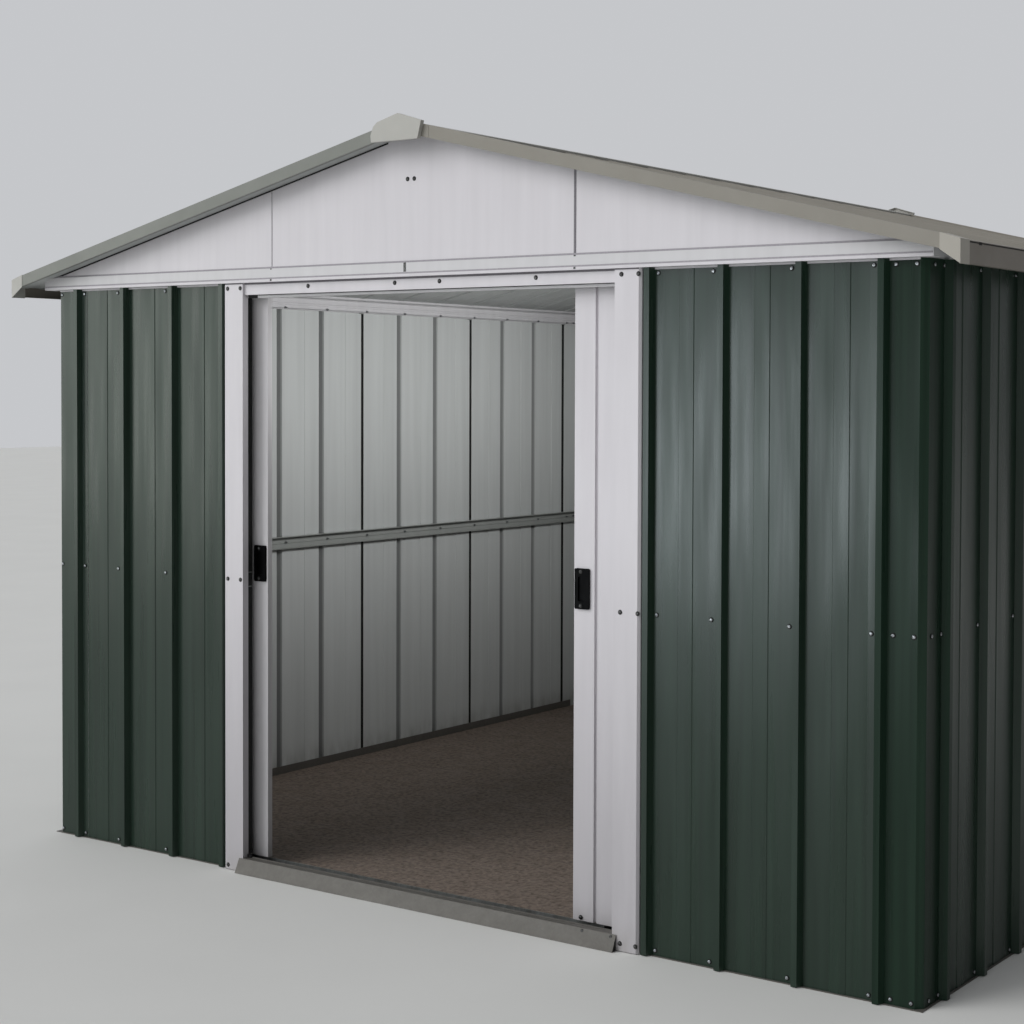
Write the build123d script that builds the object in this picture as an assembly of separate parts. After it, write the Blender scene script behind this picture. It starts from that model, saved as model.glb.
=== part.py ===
from build123d import *
from math import atan, cos, degrees, hypot, sin
import os

os.makedirs("parts", exist_ok=True)

# Plan of the shed, in millimetres: everything follows the rib pitch of the wall sheets
RIB_PITCH = 200
FRONT_RIBS = 14
SIDE_RIBS = 13
CORNER_PAN = 100
PANEL_RIBS = 3
WIDTH = (FRONT_RIBS - 1) * RIB_PITCH + 2 * CORNER_PAN
DEPTH = (SIDE_RIBS - 1) * RIB_PITCH + 2 * CORNER_PAN
HALF_W = WIDTH / 2
HALF_D = DEPTH / 2

# Folded sheet
SHEET = 1.0
RIB_H = 18
RIB_CROWN = 15
RIB_FOOT = 27
STRIP_HALF = 19
STRIP_H = 1.5
LAP_EDGE = 4
SEAM = 0.4
CORNER_CHAMFER = 15

# Levels above the ground, and the rails inside the walls
PLATE = 1.5
WALL_BOTTOM = PLATE
WALL_TOP = 1600
RAIL_H = 40
RAIL_D = 23.5
RAIL_BEAD = 2
SIDE_RAIL_LIFT = 21
MID_RAIL_Z = 796
MID_RAIL_D = 20

# Base frame and floor
BASE_LIP = 6
BASE_FLANGE = 46
BASE_WEB = 40
DECK_THICK = 14.5
DECK_TOP = PLATE + DECK_THICK
DECK_GAP = 6

# Doorway in the front wall
DOORWAY_HALF = 612
JAMB_OUT = RIB_H + 1
JAMB_BEVEL = 6
JAMB_LAP = 6
HEADER_H = 32
HEADER_OUT = 12
SILL_OUT = 38
SILL_H = 38
SILL_FOOT = 12
SILL_LAP = 13
SILL_CLEAR = 0.5

# Roof
SLOPE = 0.235
THETA = atan(SLOPE)
EAVE_RISE = 33
RIDGE_Z = WALL_TOP + EAVE_RISE + SLOPE * HALF_W
OVERHANG_X = 108
OVERHANG_Y = 76
TRIM_RISE = 25
TRIM_DROP = 7
TRIM_LIP = 10
TRIM_FLANGE = 34
FASCIA_RISE = 21.5
FASCIA_DROP = 27
EAVE_FLANGE = 20
EAVE_FOOT = 12
CAP_LEN = 45
CAP_GROW = 1.0
CAP_DROP = 2
RIDGE_GAP = 10
RIDGE_CAP_HALF = 84
RIDGE_CAP_LIFT = 24
RIDGE_CAP_TOP = RIDGE_Z + RIDGE_CAP_LIFT

# Ridge end caps: how far they stand out, and their outline as x and height above the ridge
END_CAP_OUT = 12
END_CAP_SHAPE = [(-86, -29), (-88, -12), (-79, 10), (-66, 20), (2, 38), (78, 15), (66, -29)]

# Gables
GABLE_OUT = RIB_H
GABLE_RAIL_OUT = 24
GABLE_RAIL_H = 35
GABLE_RAIL_PAST = 26
RAIL_JOINT_X = -30
GABLE_SEAM_X = 500

# Beams under the roof
BEAM_W = 60
BEAM_H = 102
PURLIN_X = 700
PURLIN_W = 36
PURLIN_H = 40

# Sliding doors: how much of each shows in the doorway, then their own sizes
LEFT_SHOWS = 41
RIGHT_SHOWS = 152
LEFT_LEAD = LEFT_SHOWS - DOORWAY_HALF
RIGHT_LEAD = DOORWAY_HALF - RIGHT_SHOWS
DOOR_W = 650
DOOR_DEPTH = 16
DOOR_HEAD = 10
DOOR_LIP = 14
DOOR_TOP = WALL_TOP - DOOR_HEAD
STILE_W = 60
GROOVE_W = 10
GROOVE_DEEP = 6
BRACE_H = 30

# Handles: a moulded plate with a finger pocket
HANDLE_W = 42
HANDLE_H = 98
HANDLE_T = 6
HANDLE_IN = 5
HANDLE_Z = 839
HANDLE_R = 4
POCKET_W = 22
POCKET_H = 60
POCKET_DEEP = 4

# Running gear: wheels on the lips of the top track, slides in the floor guide
RUN_CLEAR = 6
TRACK_HALF = 1300
TRACK_IN = RAIL_D + SHEET
TRACK_W = 39
TRACK_H = 31.5
TRACK_SLOT = 15
TRACK_LOW = DOOR_TOP + RUN_CLEAR
TRACK_TOP = TRACK_LOW + TRACK_H
HANGER_IN = 110
HANGER_L = 40
HANGER_T = 4
WHEEL_R = 9
WHEEL_W = 10
WHEEL_GAP = 0.3
DOOR_OFFSET = 2
SLIDE_H = 13
SLIDE_W = 12
SLIDE_CLEAR = 5.5
GUIDE_H = 13
GUIDE_W = SLIDE_W + 2 * (SLIDE_CLEAR + PLATE)
DOOR_BOTTOM = DECK_TOP + PLATE + SLIDE_CLEAR + SLIDE_H
DOOR_SET = TRACK_IN + (TRACK_W - DOOR_DEPTH) / 2 - DOOR_OFFSET


def prism(points, z0, z1):
    """Closed outline in plan, raised from z0 to z1."""
    face = make_face(Polyline(*[(x, y, z0) for x, y in points], close=True))
    return extrude(face, z1 - z0, dir=(0, 0, 1))


def prism_x(points, x0, x1):
    """Closed outline of (y, z) points, run along X."""
    face = make_face(Polyline(*[(x0, y, z) for y, z in points], close=True))
    return extrude(face, x1 - x0, dir=(1, 0, 0))


def prism_y(points, y0, y1):
    """Closed outline of (x, z) points, run along Y."""
    face = make_face(Polyline(*[(x, y0, z) for x, z in points], close=True))
    return extrude(face, y1 - y0, dir=(0, 1, 0))


def block(x0, x1, y0, y1, z0, z1):
    """Box between two corners."""
    return prism([(x0, y0), (x1, y0), (x1, y1), (x0, y1)], z0, z1)


def folded(points, thick):
    """Outline of a sheet folded along a line; the thickness goes to the right of the line."""
    segs = []
    for (ax, ay), (bx, by) in zip(points, points[1:]):
        length = hypot(bx - ax, by - ay)
        segs.append(((bx - ax) / length, (by - ay) / length))
    back = []
    for i, (px, py) in enumerate(points):
        dx0, dy0 = segs[max(i - 1, 0)]
        dx1, dy1 = segs[min(i, len(segs) - 1)]
        n0 = (dy0, -dx0)
        n1 = (dy1, -dx1)
        scale = thick / (1 + n0[0] * n1[0] + n0[1] * n1[1])
        back.append((px + (n0[0] + n1[0]) * scale, py + (n0[1] + n1[1]) * scale))
    return list(points) + back[::-1]


def rib_line(centre, out=0.0):
    """Four bends of one rib standing out of a pan."""
    return [
        (centre - RIB_FOOT / 2, out),
        (centre - RIB_CROWN / 2, out + RIB_H),
        (centre + RIB_CROWN / 2, out + RIB_H),
        (centre + RIB_FOOT / 2, out),
    ]


def strip_line(centre):
    """Four bends of the shallow stiffening strip in the middle of a pan."""
    return [
        (centre - STRIP_HALF - STRIP_H, 0),
        (centre - STRIP_HALF, STRIP_H),
        (centre + STRIP_HALF, STRIP_H),
        (centre + STRIP_HALF + STRIP_H, 0),
    ]


def sheet_line(start, end, ribs):
    """Ribbed line from start to end: v is zero on the pans and positive outward."""
    inside = [r for r in ribs if start < r < end]
    line = [(start, 0)]
    for i, rib in enumerate(inside):
        if i > 0:
            line += strip_line((inside[i - 1] + rib) / 2)
        elif rib - start > RIB_PITCH * 0.75:
            line += strip_line(rib - RIB_PITCH / 2)
        line += rib_line(rib)
    if inside and end - inside[-1] > RIB_PITCH * 0.75:
        line += strip_line(inside[-1] + RIB_PITCH / 2)
    line.append((end, 0))
    return line


def rib_places(count):
    """Rib centres along a wall, measured from its middle."""
    half = (count - 1) * RIB_PITCH / 2
    return [k * RIB_PITCH - half for k in range(count)]


def to_wall(points, side):
    """Turn (along, outward) points into plan points on one of the four walls."""
    if side == "front":
        return [(u, -HALF_D - v) for u, v in points]
    if side == "rear":
        return [(-u, HALF_D + v) for u, v in points]
    if side == "right":
        return [(HALF_W + v, u) for u, v in points]
    return [(-HALF_W - v, -u) for u, v in points]


def wall_sheet(side, start, end, ribs):
    """One ribbed wall panel, standing on the base frame."""
    outline = folded(sheet_line(start, end, ribs), SHEET)
    return prism(to_wall(outline, side), WALL_BOTTOM, WALL_TOP)


def fuse(parts):
    """Join touching shapes to one."""
    whole = parts[0]
    for part in parts[1:]:
        whole = whole + part
    return whole


def wall_channel(side, u0, u1, z0, z1, deep):
    """Channel along a wall: beaded web against the sheet, two flanges pointing inward."""
    middle = (z0 + z1) / 2
    back = -SHEET
    line = [
        (back - deep, z1),
        (back, z1),
        (back, middle + 2 * RAIL_BEAD),
        (back - RAIL_BEAD, middle + RAIL_BEAD),
        (back - RAIL_BEAD, middle - RAIL_BEAD),
        (back, middle - 2 * RAIL_BEAD),
        (back, z0),
        (back - deep, z0),
    ]
    outline = folded(line, PLATE)
    if side == "front":
        return prism_x([(-HALF_D - v, z) for v, z in outline], u0, u1)
    if side == "rear":
        return prism_x([(HALF_D + v, z) for v, z in outline], -u1, -u0)
    if side == "right":
        return prism_y([(HALF_W + v, z) for v, z in outline], u0, u1)
    return prism_y([(-HALF_W - v, z) for v, z in outline], -u1, -u0)


def save(node, shapes):
    """Write one node, which may hold several solids that do not touch."""
    solids = []
    for shape in shapes:
        solids += list(shape.solids())
    whole = solids[0] if len(solids) == 1 else Compound(children=solids)
    whole.label = node
    export_step(whole, "parts/" + node + ".step")


def mirror_x(shape):
    """Left hand copy of a right hand shape."""
    return mirror(shape, about=Plane.YZ)


def mirror_y(shape):
    """Rear copy of a front shape."""
    return mirror(shape, about=Plane.XZ)


def roof_under(x):
    """Height of the underside of the roof pans."""
    return RIDGE_Z - SLOPE * abs(x)


front_ribs = rib_places(FRONT_RIBS)
side_ribs = rib_places(SIDE_RIBS)
LAP = RIB_FOOT / 2 + LAP_EDGE

# Base frame: angle irons lying on the ground, the walls stand on the outer lip
base_front = fuse([
    block(-HALF_W - BASE_LIP, HALF_W + BASE_LIP, -HALF_D - BASE_LIP, -HALF_D + BASE_FLANGE, 0, PLATE),
    block(-HALF_W + BASE_FLANGE, HALF_W - BASE_FLANGE, -HALF_D + SHEET, -HALF_D + SHEET + PLATE, 0, BASE_WEB),
])
side_run = HALF_D - BASE_FLANGE - SEAM
base_right = fuse([
    block(HALF_W - BASE_FLANGE, HALF_W + BASE_LIP, -side_run, side_run, 0, PLATE),
    block(HALF_W - SHEET - PLATE, HALF_W - SHEET, -side_run, side_run, 0, BASE_WEB),
])
save("base_frame", [base_front, mirror_y(base_front), base_right, mirror_x(base_right)])

# Floor boards, lying on the flanges of the base frame
deck_x = HALF_W - SHEET - PLATE - DECK_GAP
deck_y = HALF_D - SHEET - PLATE - DECK_GAP
board_w = 2 * deck_x / 3
boards = []
for i in range(3):
    x0 = -deck_x + i * board_w + (SEAM if i else 0)
    boards.append(block(x0, -deck_x + (i + 1) * board_w, -deck_y, deck_y, PLATE, DECK_TOP))
save("floor_boards", boards)

# Corner panels: one rib on each face and a chamfered corner between them
corner_line = [(HALF_W - CORNER_PAN - LAP, -HALF_D)]
for u, v in rib_line(HALF_W - CORNER_PAN):
    corner_line.append((u, -HALF_D - v))
corner_line.append((HALF_W - CORNER_CHAMFER, -HALF_D))
corner_line.append((HALF_W, -HALF_D + CORNER_CHAMFER))
for u, v in rib_line(-HALF_D + CORNER_PAN):
    corner_line.append((HALF_W + v, u))
corner_line.append((HALF_W, -HALF_D + CORNER_PAN + LAP))
corner_panel = prism(folded(corner_line[::-1], SHEET), WALL_BOTTOM, WALL_TOP)
save("corner_front_right", [corner_panel])
save("corner_front_left", [mirror_x(corner_panel)])
save("corner_rear_right", [mirror_y(corner_panel)])
save("corner_rear_left", [mirror_x(mirror_y(corner_panel))])


def wall_run(side, ribs, joints):
    """Panels between the corner panels, each ending just past the rib it laps."""
    edges = [ribs[0] + LAP] + [ribs[j] + LAP for j in joints] + [ribs[-1] - LAP]
    panels = []
    for a, b in zip(edges, edges[1:]):
        panels.append(wall_sheet(side, a + SEAM, b, ribs))
    panels[-1] = wall_sheet(side, edges[-2] + SEAM, edges[-1] - SEAM, ribs)
    return panels


side_joints = list(range(PANEL_RIBS, SIDE_RIBS - 1, PANEL_RIBS))
mid = FRONT_RIBS // 2
rear_joints = [PANEL_RIBS, mid - 1, mid, FRONT_RIBS - 1 - PANEL_RIBS]
save("left_wall", wall_run("left", side_ribs, side_joints))
save("right_wall", wall_run("right", side_ribs, side_joints))
save("rear_wall", wall_run("rear", front_ribs, rear_joints))

# Front wall panels end under the jambs
jamb_outer = -front_ribs[PANEL_RIBS] - RIB_FOOT / 2 - SHEET
sheet_end = DOORWAY_HALF + JAMB_LAP
front_right = wall_sheet("front", sheet_end, front_ribs[-1] - LAP - SEAM, front_ribs)
save("front_wall_right", [front_right])
save("front_wall_left", [mirror_x(front_right)])

# Rails inside the walls: along the top and at half height
rail_side = HALF_D - CORNER_CHAMFER - SHEET
rail_front = HALF_W - SHEET - RAIL_D - SEAM
rail_low = WALL_TOP - RAIL_H
side_top = WALL_TOP + SIDE_RAIL_LIFT
side_rail = wall_channel("right", -rail_side, rail_side, side_top - RAIL_H, side_top, RAIL_D)
rail_edge = HALF_W - SHEET
eave_web = prism_y(
    [
        (rail_edge, side_top),
        (rail_edge, roof_under(rail_edge)),
        (rail_edge - PLATE, roof_under(rail_edge - PLATE)),
        (rail_edge - PLATE, side_top),
    ],
    -rail_side,
    rail_side,
)
side_rail = side_rail + eave_web
front_rail = wall_channel("front", -rail_front, rail_front, rail_low, WALL_TOP, RAIL_D)
save("top_rails", [side_rail, mirror_x(side_rail), front_rail, mirror_y(front_rail)])

mid_low = MID_RAIL_Z - RAIL_H / 2
mid_high = MID_RAIL_Z + RAIL_H / 2
mid_front = HALF_W - SHEET - MID_RAIL_D - SEAM
mid_right = wall_channel("right", -rail_side, rail_side, mid_low, mid_high, MID_RAIL_D)
mid_rear = wall_channel("rear", -mid_front, mid_front, mid_low, mid_high, MID_RAIL_D)
mid_fr = wall_channel("front", sheet_end, mid_front, mid_low, mid_high, MID_RAIL_D)
save("mid_rails", [mid_right, mirror_x(mid_right), mid_rear, mid_fr, mirror_x(mid_fr)])

# Door jambs: folded posts as deep as the ribs, their outer edge bevelled
jamb_line = [
    (DOORWAY_HALF, -SHEET),
    (DOORWAY_HALF, JAMB_OUT),
    (jamb_outer - JAMB_BEVEL, JAMB_OUT),
    (jamb_outer, JAMB_OUT - JAMB_BEVEL),
    (jamb_outer, 0),
]
jamb = prism(to_wall(folded(jamb_line, PLATE), "front"), PLATE, WALL_TOP)
save("door_jamb_right", [jamb])
save("door_jamb_left", [mirror_x(jamb)])

# Header between the jambs
front_y = -HALF_D
header_line = [
    (front_y + SHEET, WALL_TOP - HEADER_H),
    (front_y - HEADER_OUT, WALL_TOP - HEADER_H),
    (front_y - HEADER_OUT, WALL_TOP),
    (front_y + SHEET, WALL_TOP),
]
header = prism_x(folded(header_line, PLATE), -DOORWAY_HALF, DOORWAY_HALF)
save("door_header", [header])

# Sill in front of the doorway: a sloping face that laps the feet of both jambs
sill_face = [
    (front_y - SILL_OUT + SILL_FOOT, 0),
    (front_y - SILL_OUT, 0),
    (front_y - JAMB_OUT - PLATE - SILL_CLEAR, SILL_H),
]
sill_line = sill_face + [(front_y + SHEET, SILL_H)]
sill_end = DOORWAY_HALF + SILL_LAP
sill = prism_x(folded(sill_line, PLATE), -DOORWAY_HALF, DOORWAY_HALF)
sill = sill + prism_x(folded(sill_face, PLATE), -sill_end, sill_end)
save("door_sill", [sill])

# Door tracks: a channel above the doors with a lip each side of its slot, and a guide on the floor
track_y = front_y + TRACK_IN
track_mid = track_y + TRACK_W / 2
track_line = [
    (track_mid - TRACK_SLOT / 2, TRACK_LOW),
    (track_y, TRACK_LOW),
    (track_y, TRACK_TOP),
    (track_y + TRACK_W, TRACK_TOP),
    (track_y + TRACK_W, TRACK_LOW),
    (track_mid + TRACK_SLOT / 2, TRACK_LOW),
]
save("door_track_top", [prism_x(folded(track_line, PLATE), -TRACK_HALF, TRACK_HALF)])
guide_line = [
    (track_mid + GUIDE_W / 2, DECK_TOP + GUIDE_H),
    (track_mid + GUIDE_W / 2, DECK_TOP),
    (track_mid - GUIDE_W / 2, DECK_TOP),
    (track_mid - GUIDE_W / 2, DECK_TOP + GUIDE_H),
]
save("door_guide_bottom", [prism_x(folded(guide_line, PLATE), -TRACK_HALF, TRACK_HALF)])

# Everything below the roof sheets, used to trim the tops of gables and beams
far = 2 * WIDTH
below_roof = prism_y(
    [(-far, 0), (far, 0), (far, roof_under(far)), (0, RIDGE_Z), (-far, roof_under(far))],
    -far,
    far,
)

# Gable rails and gable sheets
gable_bottom = WALL_TOP + PLATE
gable_rail_line = [
    (front_y + CORNER_CHAMFER, WALL_TOP),
    (front_y - GABLE_RAIL_OUT, WALL_TOP),
    (front_y - GABLE_RAIL_OUT, WALL_TOP + GABLE_RAIL_H),
    (front_y - GABLE_OUT - SHEET, WALL_TOP + GABLE_RAIL_H),
]
rail_outline = folded(gable_rail_line, PLATE)
rail_end = HALF_W + GABLE_RAIL_PAST
rail_halves = [
    prism_x(rail_outline, -rail_end, RAIL_JOINT_X - SEAM / 2) & below_roof,
    prism_x(rail_outline, RAIL_JOINT_X + SEAM / 2, rail_end) & below_roof,
]
save("gable_rail_front", rail_halves)
save("gable_rail_rear", [mirror_y(r) for r in rail_halves])


def gable_sheet(x0, x1):
    """Flat gable sheet between two places, its top following the roof."""
    top = [(x0, roof_under(x0))]
    if x0 < 0 < x1:
        top.append((0, RIDGE_Z))
    top.append((x1, roof_under(x1)))
    outline = [(x1, gable_bottom), (x0, gable_bottom)] + top
    return prism_y(outline, front_y - GABLE_OUT - SHEET, front_y - GABLE_OUT)


gables = {
    "left": gable_sheet(-HALF_W, -GABLE_SEAM_X - SEAM),
    "middle": gable_sheet(-GABLE_SEAM_X, GABLE_SEAM_X),
    "right": gable_sheet(GABLE_SEAM_X + SEAM, HALF_W),
}
save("gable_front", list(gables.values()))
save("gable_rear", [mirror_y(g) for g in gables.values()])

# Ridge beam and purlins
beam_y = HALF_D + GABLE_OUT
beam_line = [
    (-BEAM_W / 2, roof_under(BEAM_W / 2)),
    (-BEAM_W / 2, RIDGE_Z - BEAM_H),
    (BEAM_W / 2, RIDGE_Z - BEAM_H),
    (BEAM_W / 2, roof_under(BEAM_W / 2)),
    (0, RIDGE_Z),
]
inner = [
    (-BEAM_W / 2 + PLATE, roof_under(BEAM_W / 2) - PLATE),
    (-BEAM_W / 2 + PLATE, RIDGE_Z - BEAM_H + PLATE),
    (BEAM_W / 2 - PLATE, RIDGE_Z - BEAM_H + PLATE),
    (BEAM_W / 2 - PLATE, roof_under(BEAM_W / 2) - PLATE),
    (0, RIDGE_Z - PLATE),
]
ridge_beam = prism_y(beam_line, -beam_y, beam_y) - prism_y(inner, -beam_y, beam_y)
save("ridge_beam", [ridge_beam])
x_in = PURLIN_X - PURLIN_W / 2
x_out = PURLIN_X + PURLIN_W / 2
purlin_line = [
    (x_out, roof_under(x_out) - PURLIN_H),
    (x_in, roof_under(x_out) - PURLIN_H),
    (x_in, roof_under(x_in)),
    (x_out, roof_under(x_out)),
]
purlin = prism_y(folded(purlin_line, PLATE), -beam_y, beam_y)
save("roof_beams", [purlin, mirror_x(purlin)])

# Roof: the profile is drawn across the slope and run down it
down = (cos(THETA), 0, -sin(THETA))
run = HALF_W + OVERHANG_X


def down_slope(points, x0, x1):
    """Outline of (y, up from the roof underside), run down the right hand slope."""
    place = Plane(origin=(x0, 0, roof_under(x0)), x_dir=(0, 1, 0), z_dir=down)
    line = Polyline(*[(u, v) for u, v in points], close=True)
    return extrude(place * make_face(line), (x1 - x0) / cos(THETA))


roof_x = run - PLATE
roof_y = HALF_D + OVERHANG_Y - PLATE
trim_window = block(RIDGE_GAP, roof_x, -2 * HALF_D, 2 * HALF_D, 0, 2 * RIDGE_Z)
roof_joints = [-roof_y] + [side_ribs[j] + LAP for j in side_joints[:-1]] + [roof_y]
roof_panels = []
for a, b in zip(roof_joints, roof_joints[1:]):
    line = [(u, v + SHEET) for u, v in sheet_line(a + SEAM / 2, b - SEAM / 2, side_ribs)]
    line[0] = (a if a == -roof_y else a + SEAM / 2, SHEET)
    line[-1] = (b if b == roof_y else b - SEAM / 2, SHEET)
    panel = down_slope(folded(line, SHEET), 0, run + CAP_LEN)
    roof_panels.append(panel & trim_window)
save("roof_right", roof_panels)
save("roof_left", [mirror_x(p) for p in roof_panels])

# Rake trims: capping over the front and rear edges of the roof
rise = TRIM_RISE * cos(THETA)
drop = TRIM_DROP * cos(THETA)
edge_y = -(HALF_D + OVERHANG_Y)
rake_line = [
    (edge_y + TRIM_LIP, -drop),
    (edge_y, -drop),
    (edge_y, rise),
    (edge_y + TRIM_FLANGE, rise),
    (edge_y + TRIM_FLANGE, SHEET),
]
rake_window = block(RIDGE_CAP_HALF, run - CAP_LEN, -far, far, 0, 2 * RIDGE_Z)
rake = down_slope(folded(rake_line, PLATE), RIDGE_CAP_HALF - TRIM_RISE, run) & rake_window
save("rake_trims_front", [rake, mirror_x(rake)])
save("rake_trims_rear", [mirror_y(rake), mirror_x(mirror_y(rake))])

# Corner caps close the ends of the rake trims and eave fascias
eave_z = roof_under(run)
cap_in = run - CAP_LEN
cap_out = run + PLATE
cap_y = edge_y - CAP_GROW
cap_back = edge_y + CAP_LEN
top_in = roof_under(cap_in) + TRIM_RISE + CAP_GROW
top_out = eave_z + FASCIA_RISE + CAP_GROW
low_in = roof_under(cap_in) - TRIM_DROP - CAP_DROP
low_out = eave_z - FASCIA_DROP - CAP_DROP
cap_face = [(cap_in, low_in), (cap_out, low_out), (cap_out, top_out), (cap_in, top_in)]
cap_top = [(cap_in, top_in - PLATE), (cap_out, top_out - PLATE), (cap_out, top_out), (cap_in, top_in)]
corner_cap = fuse([
    prism_y(cap_face, cap_y, cap_y + PLATE),
    prism_y(cap_top, cap_y, cap_back),
    block(run, cap_out, cap_y, cap_back, low_out, top_out),
])
save("roof_corner_caps", [
    corner_cap,
    mirror_x(corner_cap),
    mirror_y(corner_cap),
    mirror_x(mirror_y(corner_cap)),
])

# Eave fascias along the sides, their top flange lying over the ends of the roof ribs
fascia_line = [
    (run - EAVE_FOOT, eave_z - FASCIA_DROP),
    (run, eave_z - FASCIA_DROP),
    (run, eave_z + FASCIA_RISE),
    (run - EAVE_FLANGE, eave_z + FASCIA_RISE + SLOPE * EAVE_FLANGE),
]
fascia = prism_y(folded(fascia_line[::-1], PLATE), cap_back, -cap_back)
save("eave_fascias", [fascia, mirror_x(fascia)])

# Ridge cap, and a shallow tray closing each of its two ends
cap_low = roof_under(RIDGE_CAP_HALF - PLATE) + (SHEET + RIB_H) / cos(THETA)
cap_shoulder = RIDGE_CAP_TOP - SLOPE * RIDGE_CAP_HALF
ridge_line = [
    (-RIDGE_CAP_HALF, cap_low),
    (-RIDGE_CAP_HALF, cap_shoulder),
    (0, RIDGE_CAP_TOP),
    (RIDGE_CAP_HALF, cap_shoulder),
    (RIDGE_CAP_HALF, cap_low),
]
save("ridge_cap", [prism_y(folded(ridge_line, PLATE), edge_y, -edge_y)])
end_y = edge_y - END_CAP_OUT
end_face = make_face(Polyline(*[(x, end_y, RIDGE_Z + up) for x, up in END_CAP_SHAPE], close=True))
end_hollow = Pos(0, PLATE, 0) * offset(end_face, -PLATE, kind=Kind.INTERSECTION)
inward = (0, 1, 0)
ridge_end = extrude(end_face, END_CAP_OUT, dir=inward) - extrude(end_hollow, END_CAP_OUT, dir=inward)
save("ridge_end_caps", [ridge_end, mirror_y(ridge_end)])


# Sliding doors: s runs back from the leading edge, t inward from the door face
def door_parts(lead, way):
    """Nodes of one door; way is -1 for the left door and 1 for the right door."""
    face_y = front_y + DOOR_SET

    def plan(points):
        return [(lead + way * s, face_y + t) for s, t in points]

    def door_box(s0, s1, t0, t1, z0, z1):
        return prism(plan([(s0, t0), (s1, t0), (s1, t1), (s0, t1)]), z0, z1)

    groove = STILE_W + GROOVE_W
    bend = GROOVE_W / 5
    line = [
        (DOOR_LIP, -DOOR_DEPTH),
        (0, -DOOR_DEPTH),
        (0, 0),
        (STILE_W, 0),
        (STILE_W + bend, -GROOVE_DEEP),
        (groove - bend, -GROOVE_DEEP),
        (groove, 0),
    ]
    pan = (DOOR_W - groove) / PANEL_RIBS
    for i in range(PANEL_RIBS):
        line += strip_line(groove + (i + 0.5) * pan)
    line += [(DOOR_W, 0), (DOOR_W, -DOOR_DEPTH), (DOOR_W - DOOR_LIP, -DOOR_DEPTH)]
    skin = prism(plan([(s, -t) for s, t in folded(line, SHEET)]), DOOR_BOTTOM, DOOR_TOP)

    braces = []
    s0, s1 = groove + PLATE, DOOR_W - DOOR_LIP - PLATE
    flange = DOOR_DEPTH - SHEET
    for z0 in (DOOR_BOTTOM, (DOOR_BOTTOM + DOOR_TOP - BRACE_H) / 2, DOOR_TOP - BRACE_H):
        web = door_box(s0, s1, SHEET, SHEET + PLATE, z0, z0 + BRACE_H)
        low = door_box(s0, s1, SHEET, flange, z0, z0 + PLATE)
        top = door_box(s0, s1, SHEET, flange, z0 + BRACE_H - PLATE, z0 + BRACE_H)
        braces.append(fuse([web, low, top]))

    handle_low = HANDLE_Z - HANDLE_H / 2
    plate = door_box(HANDLE_IN, HANDLE_IN + HANDLE_W, -HANDLE_T, 0, handle_low, handle_low + HANDLE_H)
    plate = fillet(plate.edges().filter_by(Axis.Y), HANDLE_R)
    pocket_s = HANDLE_IN + (HANDLE_W - POCKET_W) / 2
    pocket_z = HANDLE_Z - POCKET_H / 2
    pocket = door_box(
        pocket_s, pocket_s + POCKET_W, -HANDLE_T, POCKET_DEEP - HANDLE_T, pocket_z, pocket_z + POCKET_H
    )
    handle = plate - fillet(pocket.edges().filter_by(Axis.Y), HANDLE_R)

    hangers = []
    slides = []
    gear_t = TRACK_IN + TRACK_W / 2 - DOOR_SET
    wheel_z = TRACK_LOW + PLATE + WHEEL_GAP + WHEEL_R
    slide_t = gear_t - SLIDE_W / 2
    for s in (HANGER_IN, DOOR_W - HANGER_IN):
        s0, s1 = s - HANGER_L / 2, s + HANGER_L / 2
        plate = door_box(s0, s1, gear_t - HANGER_T / 2, gear_t + HANGER_T / 2, DOOR_TOP, wheel_z + WHEEL_R)
        wheels = Cylinder(WHEEL_R, HANGER_T + 2 * WHEEL_W, rotation=(90, 0, 0))
        hangers.append(plate + Pos(lead + way * s, face_y + gear_t, wheel_z) * wheels)
        slides.append(door_box(s0, s1, slide_t, slide_t + SLIDE_W, DOOR_BOTTOM - SLIDE_H, DOOR_BOTTOM))
    return skin, braces, handle, hangers, slides


for name, lead, way in (("left_door", LEFT_LEAD, -1), ("right_door", RIGHT_LEAD, 1)):
    skin, braces, handle, hangers, slides = door_parts(lead, way)
    save(name + "_panel", [skin])
    save(name + "_braces", braces)
    save(name + "_handle", [handle])
    save(name + "_hangers", hangers)
    save(name + "_slides", slides)
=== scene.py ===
import math
import random

import bpy
from bpy.props import FloatProperty, FloatVectorProperty, PointerProperty
from mathutils import Matrix, Vector


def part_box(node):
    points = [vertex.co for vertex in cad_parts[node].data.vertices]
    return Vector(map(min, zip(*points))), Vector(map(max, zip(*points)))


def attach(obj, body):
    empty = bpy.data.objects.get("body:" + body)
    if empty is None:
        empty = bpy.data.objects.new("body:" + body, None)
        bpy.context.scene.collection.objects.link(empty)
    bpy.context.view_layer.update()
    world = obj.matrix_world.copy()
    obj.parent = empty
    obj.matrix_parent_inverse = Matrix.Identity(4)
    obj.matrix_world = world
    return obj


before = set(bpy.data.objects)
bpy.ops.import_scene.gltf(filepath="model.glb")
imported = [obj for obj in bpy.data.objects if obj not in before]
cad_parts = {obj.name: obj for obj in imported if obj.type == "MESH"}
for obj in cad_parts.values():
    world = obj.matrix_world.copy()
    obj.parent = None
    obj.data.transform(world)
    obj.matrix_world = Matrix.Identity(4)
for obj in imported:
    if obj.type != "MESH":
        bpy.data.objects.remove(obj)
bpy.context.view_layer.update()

bl_info = {
    "name": "Metal storage shed",
    "version": (1, 0, 0),
    "blender": (4, 5, 0),
    "location": "View3D > Sidebar > Shed",
    "description": "Dresses a folded steel shed: coatings, screws, laps, hems and door fittings",
    "category": "Object",
}

MM = 0.001


def low(name):
    """Lowest corner of one of the shed's pieces."""
    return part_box(name)[0]


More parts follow.
